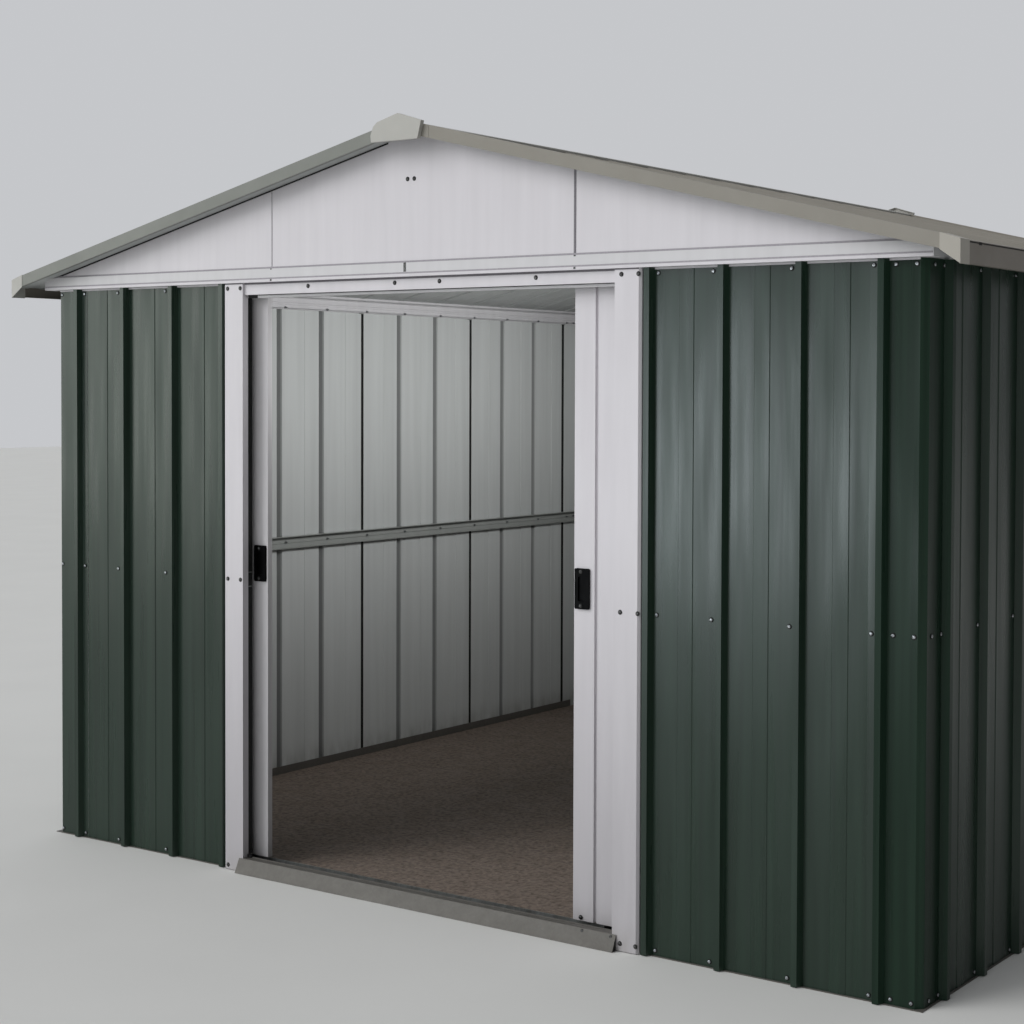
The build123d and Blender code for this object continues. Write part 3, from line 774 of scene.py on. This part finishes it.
def lap_joints(side):
    """Ribs at which two sheets lap, with the way in which the upper sheet's edge points."""
    places = ribs(side)
    if side == "front":
        return [(places[0], 1), (places[-1], -1)]
    middle = len(places) // 2
    inner = (3, 6, 9) if side in ("left", "right") else (3, middle - 1, middle, len(places) - 4)
    return [(places[0], 1)] + [(places[j], 1) for j in inner] + [(places[-1], -1)]


def lap_height(side, u):
    """How far the lapped edge of a sheet stands out at a place on a wall."""
    for rib, way in lap_joints(side):
        past = (u - rib) * way
        if RIB_FOOT / 2 <= past <= RIB_FOOT / 2 + LAP_WIDTH:
            return LAP_UNDER_SCREW
    return 0.0


def screw_columns(side):
    """Places of the screws along a wall."""
    if side == "front":
        return FRONT_SCREWS
    places = [rib - SCREW_ASIDE for rib in ribs(side)[1:]]
    first = ribs(side)[0]
    return [first + past for past in FIRST_SCREWS] + places + [-first + past for past in LAST_SCREWS]


def wall_prism(shape, side, outline, start, end):
    """Outline of (u, v) points on a wall, raised from one height to another."""
    shape.run("Z", [tuple(wall_at(side, u, v, 0).xy) for u, v in outline], start, end)


# Stage


def add_camera(scene):
    """Camera where the photograph was taken from, with its crop as a shift."""
    lens = bpy.data.cameras.new("shed_camera")
    lens.sensor_width = SENSOR
    lens.lens = SENSOR * FOCAL_PX / IMAGE
    lens.shift_x = 0.5 - AXIS_PX[0] / IMAGE
    lens.shift_y = AXIS_PX[1] / IMAGE - 0.5
    camera = bpy.data.objects.new("shed_camera", lens)
    turn = Matrix.Rotation(CAMERA_TURN, 4, "Z") @ Matrix.Rotation(math.pi / 2 - CAMERA_DOWN, 4, "X")
    camera.matrix_world = Matrix.Translation(CAMERA_AT) @ turn @ Matrix.Rotation(CAMERA_ROLL, 4, "Z")
    scene.collection.objects.link(camera)
    scene.camera = camera


def add_floor(scene):
    """Pale matt floor, slightly uneven in tone, just under the shed."""
    made, tree, place = start("matt_studio_floor")
    tone = patches(tree, place, 0.6, 0.0, 1.0)
    pale = tuple(colours().floor)
    paint = node(tree, "Mix", {"data_type": "RGBA", 6: pale, 7: toned(pale, 0.97)}, {0: tone})
    close(tree, {"Roughness": 0.9, "Specular IOR Level": 0.1}, {"Base Color": paint.outputs[2]})
    half = sizes().floor_size / 2
    mesh = bpy.data.meshes.new("studio_floor")
    corners = [(-half, -half), (half, -half), (half, half), (-half, half)]
    mesh.from_pydata([(x, y, -0.5 * MM) for x, y in corners], [], [[0, 1, 2, 3]])
    mesh.materials.append(made)
    floor = bpy.data.objects.new("studio_floor", mesh)
    scene.collection.objects.link(floor)


def add_sky(scene):
    """Pale light from all round, weaker from the right."""
    world = bpy.data.worlds.new("studio_world")
    scene.world = world
    world.use_nodes = True
    tree = world.node_tree
    tree.nodes.clear()
    way = node(tree, "TexCoord").outputs["Generated"]
    side = node(tree, "SeparateXYZ", links={0: way}).outputs["X"]
    level = node(
        tree,
        "MapRange",
        {"From Min": 0.0, "From Max": SKY_TURN, "To Min": SKY_STRENGTH, "To Max": SKY_DIM},
        {"Value": side},
    )
    glow = node(tree, "Background", {"Color": tuple(colours().sky)}, {"Strength": level.outputs[0]})
    node(tree, "OutputWorld", links={"Surface": glow.outputs[0]})


def add_lamp(name, kind, power, back, at=(0.0, 0.0, 0.0), up="Y"):
    """Lamp at a place, shining away from what is at its back."""
    data = bpy.data.lights.new(name, kind)
    data.energy = power
    lamp = bpy.data.objects.new(name, data)
    lamp.location = at
    lamp.rotation_euler = Vector(back).to_track_quat("Z", up).to_euler()
    bpy.context.scene.collection.objects.link(lamp)
    return lamp


def add_soft_face(lamp, wide, tall):
    """Make an area lamp a rectangle that the camera doesn't see."""
    lamp.data.shape = "RECTANGLE"
    lamp.data.size = wide
    lamp.data.size_y = tall
    lamp.visible_camera = False


def add_lamps():
    """Two suns that leave no glint, two boxes that leave only sheen, and the lamp inside."""
    for name, source, width, power in SUNS:
        lamp = add_lamp(name, "SUN", power, source)
        lamp.data.angle = width
        lamp.visible_glossy = False
    for name, place, aim, wide, tall, power, tint in BOXES:
        lamp = add_lamp(name, "AREA", power, Vector(place) - Vector(aim), place)
        add_soft_face(lamp, wide, tall)
        lamp.data.color = tint
        lamp.visible_diffuse = False
    lamp = add_lamp("inside_fill", "AREA", FILL_POWER, FILL_BACK, FILL_AT, "X")
    add_soft_face(lamp, *FILL_SIZE)
    lamp.data.spread = FILL_SPREAD
    lamp.visible_glossy = False


# Pieces on the walls


def add_laps(side):
    """Edge of the upper sheet beside each lapped rib, running out on the pan."""
    laps = Shape()
    for rib, way in lap_joints(side):
        near = rib + way * (RIB_FOOT / 2 - 0.6 * MM)
        far = rib + way * (RIB_FOOT / 2 + LAP_WIDTH)
        outline = [(near, 0), (near, LAP_RISE), (far, LAP_EDGE), (far, 0)]
        wall_prism(laps, side, outline, *LAP_SPAN)
    laps.piece("wall_laps_" + side, "shed", "wall_green_steel", "coil_coated_green_walls")


def add_rail_lips(side):
    """Lip of the top rail that covers the upper edge of each pan under a gable."""
    lips = Shape()
    edges = ribs(side)
    spans = list(zip(edges, edges[1:]))
    if side == "front":
        spans = [(a, b) for a, b in spans if abs(a + b) / 2 > JAMB_OUTER]
    corner = HALF_W - CORNER_CHAMFER + RIB_FOOT / 2
    spans += [(-corner, edges[0]), (edges[-1], corner)]
    for a, b in spans:
        a, b = a + RIB_FOOT / 2, b - RIB_FOOT / 2
        outline = [(a, 0), (a, LIP_RISE), (b, LIP_RISE), (b, 0)]
        wall_prism(lips, side, outline, WALL_TOP - sizes().rail_lip, WALL_TOP - 0.1 * MM)
    lips.piece("rail_lips_" + side, "shed", "white_steel", "coil_coated_white_steel")


def add_inner_flaps(side):
    """Inner edge of each lapped sheet in its rib's hollow, and a black strip between the sheets."""
    flaps = Shape()
    dark_pieces = Shape()
    half = RIB_FOOT / 2
    corners = (ribs(side)[0], ribs(side)[-1])
    for rib, way in lap_joints(side):
        hollow = way if rib in corners else -way
        edge = rib - hollow * FLAP_GAP
        flap = [
            (rib - hollow * half, FLAP_FACE),
            (edge, FLAP_FACE),
            (edge, FLAP_BACK),
            (rib - hollow * half * 1.6, FLAP_BACK),
        ]
        wall_prism(flaps, side, flap, *FLAP_SPAN)
        wall_prism(dark_pieces, side, [(rib + half * share, v) for share, v in LAP_BLACK_STRIP], *FLAP_SPAN)
    flaps.piece("inner_flaps_" + side, "shed", "wall_green_steel", "coil_coated_green_walls")
    dark_pieces.piece("lap_black_strips_" + side, "shed", "black_plastic", "rubber_and_painted_shadow")


def add_wall_screws(side, rng):
    """Screws through the pans into the base frame, the middle rail and the top rail."""
    screws = Shape()
    for u in screw_columns(side):
        for z in SCREW_ROWS:
            add_screw(screws, wall_at(side, u, lap_height(side, u), z), OUTWARD[side], rng)
    screws.piece("wall_screws_" + side, "shed", "galvanised_steel", "rubber_and_painted_shadow", "zinc_plated_steel")


# Pieces at the doorway


def add_doorway_dark_pieces():
    """Plugs in the sill's ends, a black strip behind the header as painted shadow, and two dark strips at the
    left jamb.
    """
    dark_pieces = Shape()
    sill_plug = [(-HALF_D - y * MM, z * MM) for y, z in ((35.8, 1.6), (21.8, 1.6), (21.8, 33.0))]
    for sign in (-1, 1):
        dark_pieces.run("X", sill_plug, sign * (SILL_END - 14 * MM), sign * (SILL_END - 0.5 * MM))
    # Painted shadow: a black strip behind the header, deeper at the left.
    behind = HEADER_FACE + 12 * MM
    left, step, right = -DOORWAY_HALF + 2 * MM, -575 * MM, DOORWAY_HALF - 2 * MM
    for start_x, end_x, deep in ((left, step, 9 * MM), (step, right, 1.5 * MM)):
        dark_pieces.block((start_x, behind, HEADER_LOW - deep), (end_x, behind + 1.5 * MM, HEADER_LOW))
    dark_pieces.block((-DOORWAY_HALF, -1303 * MM, 26 * MM), (-597 * MM, -1298 * MM, 46 * MM))
    strip_x = -DOORWAY_HALF - 6.2 * MM
    strip_top = HEADER_LOW - 6 * MM
    dark_pieces.block((strip_x - 5 * MM, -HALF_D + SHEET, 48 * MM), (strip_x, -1278 * MM, strip_top))
    dark_pieces.piece("doorway_dark_pieces", "shed", "black_plastic", "rubber_and_painted_shadow")


def add_header_shadow_lines():
    """Painted shadow of the gable rail's overhang: a grey line along the top of the jambs and the header."""
    joints = Shape()
    inner, outer = DOORWAY_HALF, JAMB_OUTER - JAMB_BEVEL
    for start_x, end_x, face, deep in (
        (-outer, -inner, JAMB_FACE, 3.2 * MM),
        (inner, outer, JAMB_FACE, 3.2 * MM),
        (-inner, inner, HEADER_FACE, 5.0 * MM),
    ):
        joints.block((start_x, face, WALL_TOP - deep), (end_x, face - 0.5 * MM, WALL_TOP))
    joints.piece("header_shadow_lines", "shed", "white_steel", "grey_shadow_line_paint")


def add_doorway_screws(rng):
    """Screws through the header, the jambs and the sloping face of the sill."""
    screws = Shape()
    for x, z in HEADER_SCREWS:
        add_screw(screws, (x, HEADER_FACE, z), OUTWARD["front"], rng)
    for x, z in LEFT_JAMB_SCREWS + RIGHT_JAMB_SCREWS:
        add_screw(screws, (x * MM, JAMB_FACE, z * MM), OUTWARD["front"], rng)
    for x in SILL_SCREWS:
        add_screw(screws, (x, -HALF_D - 21.6 * MM, 32 * MM), (0, -0.9, 0.3), rng)
    screws.piece("doorway_screws", "shed", "galvanised_steel", "rubber_and_painted_shadow", "dark_zinc_plating")


# Pieces on the gables


def add_gable_joints(side, way):
    """Hem under the gable rail, and the joints of its sheets and of the rail: painted shadow lines, with dark
    zinc ticks on the rail.
    """
    face = GABLE_FACE * way
    rail = GABLE_RAIL_FACE * way
    # Kinds 0 and 1 are painted shadow lines, pale and grey; kind 2 is dark zinc.
    pale, dusty, metal = 0, 1, 2
    hem_end = RAIL_END - 2 * MM
    hem_top = WALL_TOP + sizes().hem
    hems = Shape()
    hems.block((-hem_end, rail, WALL_TOP), (hem_end, rail - way * 0.9 * MM, hem_top))
    hems.piece("gable_hems_" + side, "shed", "white_steel", "coil_coated_white_steel")

    joints = Shape()
    for x, wide, kind in ((-GABLE_SEAM_X, 2.4 * MM, pale), (GABLE_SEAM_X, 6.0 * MM, dusty)):
        top = RIDGE_UNDER - SLOPE * abs(x) - 6 * MM
        joints.block((x - wide, face, GABLE_RAIL_TOP), (x, face - way * 1.0 * MM, top), kind)
    foot_end = RAIL_END - 3 * MM
    joints.block(
        (-foot_end, face, GABLE_RAIL_TOP - 0.5 * MM),
        (foot_end, face - way * 1.2 * MM, GABLE_RAIL_TOP + 5.0 * MM),
        pale,
    )
    for x, deep, wide in ((RAIL_JOINT_X, 23, 4.0), (GABLE_SEAM_X, 3, 3.0), (-GABLE_SEAM_X, 3, 2.0)):
        joints.block(
            (x - wide * MM, rail, GABLE_RAIL_TOP - deep * MM),
            (x + wide * MM, rail - way * 0.6 * MM, GABLE_RAIL_TOP + 0.4 * MM),
            metal,
        )
    for x in (-GABLE_SEAM_X, GABLE_SEAM_X):
        joints.block(
            (x - 3.0 * MM, rail - way * 0.8 * MM, WALL_TOP + 2 * MM),
            (x + 3.0 * MM, rail - way * 1.3 * MM, WALL_TOP + 7 * MM),
            metal,
        )
    joints.block((-hem_end, rail, hem_top), (hem_end, rail - way * 0.5 * MM, hem_top + 4.0 * MM), pale)
    joints.piece(
        "gable_joints_" + side,
        "shed",
        "white_steel",
        "pale_shadow_line_paint",
        "grey_shadow_line_paint",
        "dark_zinc_plating",
    )


def add_gable_shadow_strip(side, way):
    """Black strip painted as the shadow gap between the gable sheets and the roof, down both slopes."""
    face = GABLE_FACE * way
    inner, deep = 90 * MM, 4.0 * MM
    shadow_strip = Shape()
    for sign in (-1, 1):
        slope = [(sign * x, RIDGE_UNDER - SLOPE * x) for x in (inner, HALF_W)]
        outline = slope + [(x, z - deep) for x, z in slope[::-1]]
        shadow_strip.run("Y", outline, face, face - way * 1.0 * MM)
    shadow_strip.piece("gable_shadow_strips_" + side, "shed", "black_plastic", "rubber_and_painted_shadow")


def add_gable_screws(side, way, rng):
    """Two screws through the middle gable sheet, near the ridge."""
    screws = Shape()
    for x, z in GABLE_SCREWS:
        add_screw(screws, (x, GABLE_FACE * way, z), OUTWARD[side], rng)
    screws.piece(
        "gable_screws_" + side, "shed", "galvanised_steel", "rubber_and_painted_shadow", "dark_zinc_plating"
    )


# Pieces on the roof


def add_roof_screws(rng):
    """Screws beside the roof ribs, in three rows on each slope."""
    screws = Shape()
    for way in (-1, 1):
        out = (way * math.sin(PITCH_ANGLE), 0, math.cos(PITCH_ANGLE))
        for x in ROOF_SCREWS:
            for rib in ribs("right"):
                at = Vector((way * x, rib - SCREW_ASIDE, RIDGE_UNDER - SLOPE * x))
                add_screw(screws, at + Vector(out) * SHEET, out, rng)
    screws.piece("roof_screws", "shed", "galvanised_steel", "rubber_and_painted_shadow", "zinc_plated_steel")


def add_ridge_closures():
    """Fillers cut to the roof's ribs, which close the gaps under the ridge cap's edges."""
    closures = Shape()
    under_cap = high("ridge_cap").x - 0.4 * MM
    fit = 0.2 * MM
    foot, crown = RIB_FOOT / 2 + fit, RIB_CROWN / 2 + fit
    first, last = low("rake_trims_front").y + 2 * MM, high("rake_trims_rear").y - 2 * MM
    edges = [first - foot] + ribs("right") + [last + foot]
    for way in (-1, 1):
        base = Matrix.Translation((way * under_cap, 0, RIDGE_UNDER - SLOPE * under_cap))
        place = base @ Matrix.Rotation(way * PITCH_ANGLE, 4, "Y")
        for a, b in zip(edges, edges[1:]):
            top_start = first if a < first else a + crown
            top_end = last if b > last else b - crown
            outline = [
                (a + foot, SHEET), (b - foot, SHEET), (top_end, SHEET + RIB_H), (top_start, SHEET + RIB_H)
            ]
            closures.run("X", outline, -3 * MM, 0, 0, place)
    # Painted light: the closures take the lighter cap coat.
    closures.piece("ridge_closures", "shed", "trim_olive_steel", "coil_coated_cap_steel")


def add_ridge_end_strips():
    """Short strips that cover the joint of rake trim and ridge end cap."""
    strips = Shape()
    rake = low("rake_trims_front").y
    inner, outer, under, over = 60 * MM, 92 * MM, -7 * MM, 25 * MM
    for way in (-1, 1):
        for sign in (-1, 1):
            corners = ((inner, under), (outer, under), (outer, over), (inner, over))
            outline = [(sign * x, RIDGE_UNDER - SLOPE * x + rise) for x, rise in corners]
            strips.run("Y", outline, way * (rake - 0.6 * MM), way * (rake + 0.6 * MM))
    strips.piece("ridge_end_strips", "shed", "trim_olive_steel", "coil_coated_trim_steel")


def add_fascia_lines():
    """Dark joint along the top of each eave fascia, with a short wider gap near the front."""
    lines = Shape()
    top = high("eave_fascias").z - SLOPE * 20 * MM
    face = high("eave_fascias").x
    for way in (-1, 1):
        inner = way * (face - 0.2 * MM)
        lines.block(
            (inner, -1330 * MM, top - 4.5 * MM), (way * (face + 0.7 * MM), 1330 * MM, top - 2.0 * MM)
        )
        lines.block(
            (inner, -1281 * MM, top - 7 * MM), (way * (face + 0.8 * MM), -1267 * MM, top - 1 * MM)
        )
    lines.piece("fascia_lines", "shed", "black_plastic", "rubber_and_painted_shadow")


# Operators


class SHED_OT_stage(bpy.types.Operator):
    """Make the camera, the pale floor and the soft studio light"""

    bl_idname = "shed.stage"
    bl_label = "Stage"

    def execute(self, context):
        context.scene.view_settings.view_transform = "Standard"
        add_camera(context.scene)
        add_floor(context.scene)
        add_sky(context.scene)
        add_lamps()
        return {"FINISHED"}


class SHED_OT_walls(bpy.types.Operator):
    """Coat the wall sheets and add their laps, rail lips, flaps, black strips and screws"""

    bl_idname = "shed.walls"
    bl_label = "Walls"

    def execute(self, context):
        dress(
            "coil_coated_green_walls",
            "front_wall_left", "front_wall_right", "left_wall", "right_wall", "rear_wall",
            "corner_front_left", "corner_rear_left",
        )
        dress("coil_coated_green_corners", "corner_front_right", "corner_rear_right")
        rng = random.Random(11)
        for side in SIDES:
            add_laps(side)
            if side in ("front", "rear"):
                add_rail_lips(side)
            add_inner_flaps(side)
            add_wall_screws(side, rng)
        return {"FINISHED"}


class SHED_OT_doorway(bpy.types.Operator):
    """Coat the jambs, header, sill, track and guide and add their plugs, dark strips, painted shadows and
    screws
    """

    bl_idname = "shed.doorway"
    bl_label = "Doorway"

    def execute(self, context):
        dress("coil_coated_white_steel", "door_jamb_left", "door_jamb_right", "door_header")
        dress("weathered_galvanised_steel", "door_sill", "base_frame")
        dress("spangled_galvanised_steel", "door_track_top", "door_guide_bottom")
        add_doorway_dark_pieces()
        add_header_shadow_lines()
        add_doorway_screws(random.Random(23))
        return {"FINISHED"}


class SHED_OT_gables(bpy.types.Operator):
    """Coat the gables and their rails and add hems, joints, painted shadow strips and screws"""

    bl_idname = "shed.gables"
    bl_label = "Gables"

    def execute(self, context):
        dress("coil_coated_white_steel", "gable_front", "gable_rear")
        dress("coil_coated_rail_steel", "gable_rail_front", "gable_rail_rear")
        rng = random.Random(31)
        for side, way in (("front", 1), ("rear", -1)):
            add_gable_joints(side, way)
            add_gable_shadow_strip(side, way)
            add_gable_screws(side, way, rng)
        return {"FINISHED"}


class SHED_OT_roof(bpy.types.Operator):
    """Coat the roof, its beams and its trims and add screws, closures and strips"""

    bl_idname = "shed.roof"
    bl_label = "Roof"

    def execute(self, context):
        dress("coil_coated_olive_roof", "roof_left", "roof_right")
        # Trims, fascias, caps and corner caps take lighter and darker copies of the trim grey as painted
        # light and shade.
        dress("coil_coated_trim_steel", "rake_trims_front", "rake_trims_rear")
        dress("coil_coated_fascia_steel", "eave_fascias")
        dress("coil_coated_cap_steel", "ridge_end_caps", "ridge_cap")
        dress("coil_coated_corner_steel", "roof_corner_caps")
        dress("spangled_galvanised_steel", "ridge_beam", "roof_beams")
        add_roof_screws(random.Random(41))
        add_ridge_closures()
        add_ridge_end_strips()
        add_fascia_lines()
        return {"FINISHED"}


class SHED_OT_inside(bpy.types.Operator):
    """Finish the rails and floor boards and add the nuts inside the walls"""

    bl_idname = "shed.inside"
    bl_label = "Inside"

    def execute(self, context):
        dress("coil_coated_rail_steel", "top_rails")
        # Painted shade: the middle rails take the darker copy of the rail white.
        dress("coil_coated_shaded_rail_steel", "mid_rails")
        dress("speckled_floor_board", "floor_boards")
        rng = random.Random(53)
        nuts = Shape()
        for side in SIDES:
            inward = -Vector(OUTWARD[side])
            for u in screw_columns(side):
                for z, depth in ((SCREW_ROWS[1], 3.5 * MM), (SCREW_ROWS[2], 2.5 * MM)):
                    add_nut(nuts, wall_at(side, u, -depth, z), inward, rng)
        nuts.piece("inner_nuts", "shed", "galvanised_steel", "zinc_plated_steel")
        return {"FINISHED"}


class SHED_OT_doors(bpy.types.Operator):
    """Coat the two sliding doors and finish their handles and running gear"""

    bl_idname = "shed.doors"
    bl_label = "Doors"

    def execute(self, context):
        rng = random.Random(61)
        for body in ("left_door", "right_door"):
            # Painted light: the left door takes the lighter copy of the white coat.
            coat = "coil_coated_lit_white_steel" if body == "left_door" else "coil_coated_white_steel"
            dress(coat, body + "_panel")
            dress("spangled_galvanised_steel", body + "_braces", body + "_hangers")
            dress("moulded_black_plastic", body + "_handle", body + "_slides")
            corner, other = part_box(body + "_handle")
            middle = (corner + other) / 2
            screws = Shape()
            for above in HANDLE_SCREWS:
                add_screw(
                    screws, (middle.x - 2 * MM, corner.y, middle.z + above), OUTWARD["front"], rng
                )
            if body == "right_door":
                x, z = DOOR_FOOT_SCREW
                add_screw(screws, (x, low("right_door_panel").y, z), OUTWARD["front"], rng)
            screws.piece(
                body + "_screws", body, "galvanised_steel", "rubber_and_painted_shadow", "dark_zinc_plating"
            )
        return {"FINISHED"}


class SHED_PT_panel(bpy.types.Panel):
    """Shed settings and steps in the sidebar"""

    bl_idname = "SHED_PT_panel"
    bl_label = "Shed"
    bl_space_type = "VIEW_3D"
    bl_region_type = "UI"
    bl_category = "Shed"

    def draw(self, context):
        layout = self.layout
        for group in (context.scene.shed_sizes, context.scene.shed_colours):
            for name in group.__annotations__:
                layout.prop(group, name)
        for step in STEPS:
            layout.operator(step.bl_idname)


STEPS = (
    SHED_OT_stage,
    SHED_OT_walls,
    SHED_OT_doorway,
    SHED_OT_gables,
    SHED_OT_roof,
    SHED_OT_inside,
    SHED_OT_doors,
)
CLASSES = (ShedSizes, ShedColours) + STEPS + (SHED_PT_panel,)


def register():
    for item in CLASSES:
        bpy.utils.register_class(item)
    bpy.types.Scene.shed_sizes = PointerProperty(type=ShedSizes)
    bpy.types.Scene.shed_colours = PointerProperty(type=ShedColours)


def unregister():
    del bpy.types.Scene.shed_colours
    del bpy.types.Scene.shed_sizes
    for item in reversed(CLASSES):
        bpy.utils.unregister_class(item)


def main():
    register()
    for step in STEPS:
        group, name = step.bl_idname.split(".")
        getattr(getattr(bpy.ops, group), name)()


if __name__ == "__main__":
    main()
